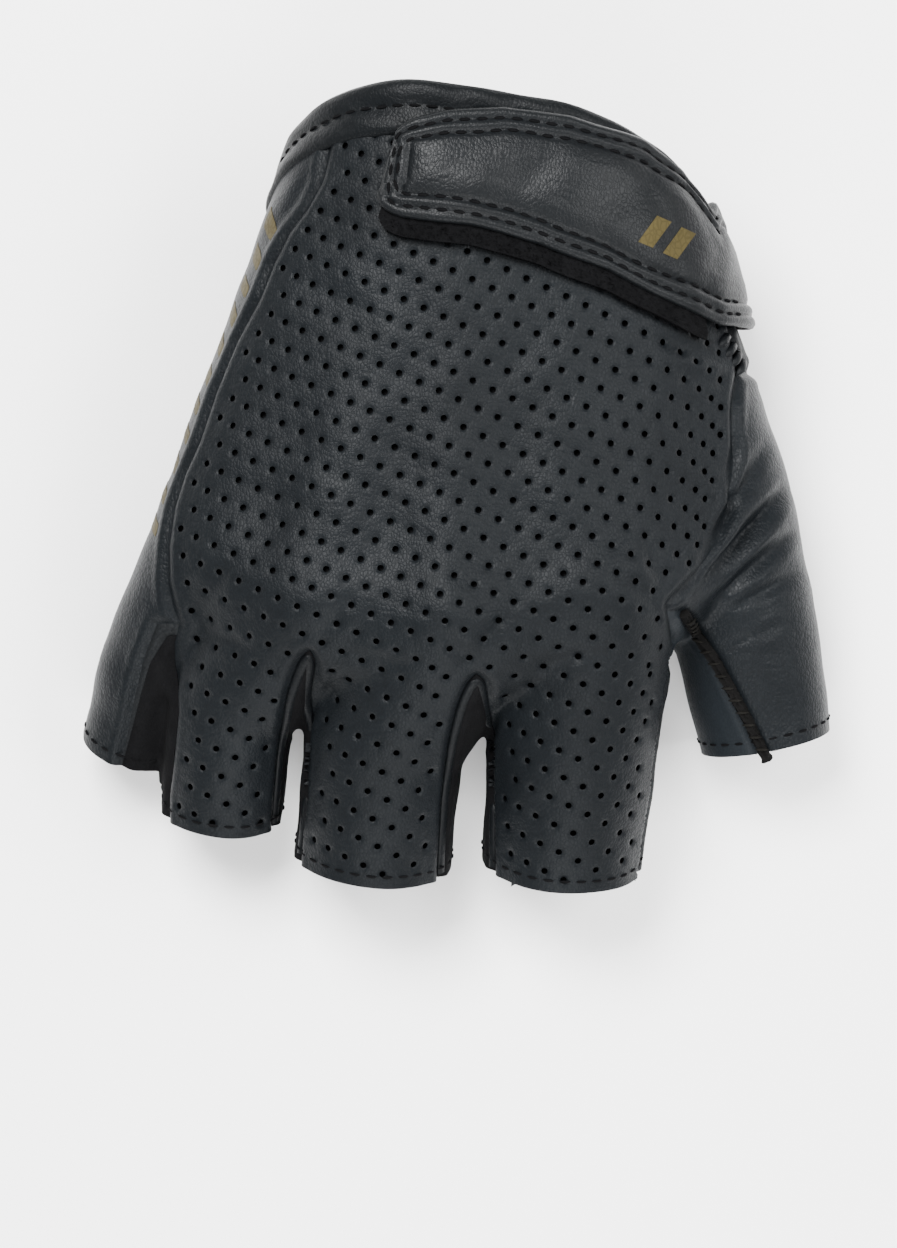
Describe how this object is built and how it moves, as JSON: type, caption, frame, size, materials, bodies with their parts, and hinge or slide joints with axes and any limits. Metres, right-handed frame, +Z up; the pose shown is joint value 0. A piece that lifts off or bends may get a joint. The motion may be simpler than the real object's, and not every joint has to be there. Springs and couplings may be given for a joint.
{
  "type": "fingerless leather glove",
  "caption": "Right-hand fingerless leather glove with a punched back, open stalls, padded palm and a peel-open wrist strap with hook-and-loop fastening.",
  "frame": {"origin": "on the surface the glove lies on, under the middle of its bounding box", "axes": "+Z up out of the back of the hand, +Y towards the wrist, -Y towards the fingers, +X towards the thumb"},
  "size_m": [0.1348, 0.1445, 0.0533],
  "materials": {
    "perforated_leather": "soft semi-gloss, dark blue-grey, punched all over",
    "plain_leather": "soft semi-gloss, dark blue-grey",
    "palm_leather": "matt, dark grey",
    "inner_thumb_leather": "smooth, slightly lighter grey",
    "soft_gusset": "matt, napped, near black",
    "binding_leather": "thin, semi-gloss",
    "strap_leather": "smooth, glossier in the middle",
    "hook_tape": "fuzzy hook tape",
    "loop_tape": "fuzzy loop tape",
    "elastic": "ribbed elastic",
    "foam": "soft foam",
    "thread": "matt sewing thread",
    "thick_thread": "matt heavy thread",
    "tan_print": "thin matt print"
  },
  "bodies": {
    "glove": {"back_panel": "perforated_leather", "side_panel": "plain_leather", "palm_panel": "palm_leather", "fourchette_little_ring": "soft_gusset", "fourchette_ring_middle": "soft_gusset", "fourchette_middle_index": "soft_gusset", "thumb_outer": "plain_leather", "thumb_inner": "inner_thumb_leather", "thumb_gusset": "soft_gusset", "wrist_binding": "binding_leather", "wrist_elastic": "elastic", "loop_patch": "loop_tape", "strap_anchor": "strap_leather", "palm_patch": "palm_leather", "heel_pad": "foam", "thumb_base_pad": "foam", "thumb_seam_stitching": "thick_thread", "hem_stitching": "thread", "binding_stitching": "thread", "palm_patch_stitching": "thread", "edge_print": "tan_print"},
    "strap": {"strap_leather": "strap_leather", "strap_hook_tape": "hook_tape", "strap_stitching": "thread", "strap_print": "tan_print"}
  },
  "joints": [
    {"name": "strap_peel", "type": "hinge", "parent": "glove", "child": "strap", "pos_m": [0.0545, 0.02704, 0.025], "axis": [-0.3032, 0.9529, 0], "range_deg": [0, 150]}
  ]
}
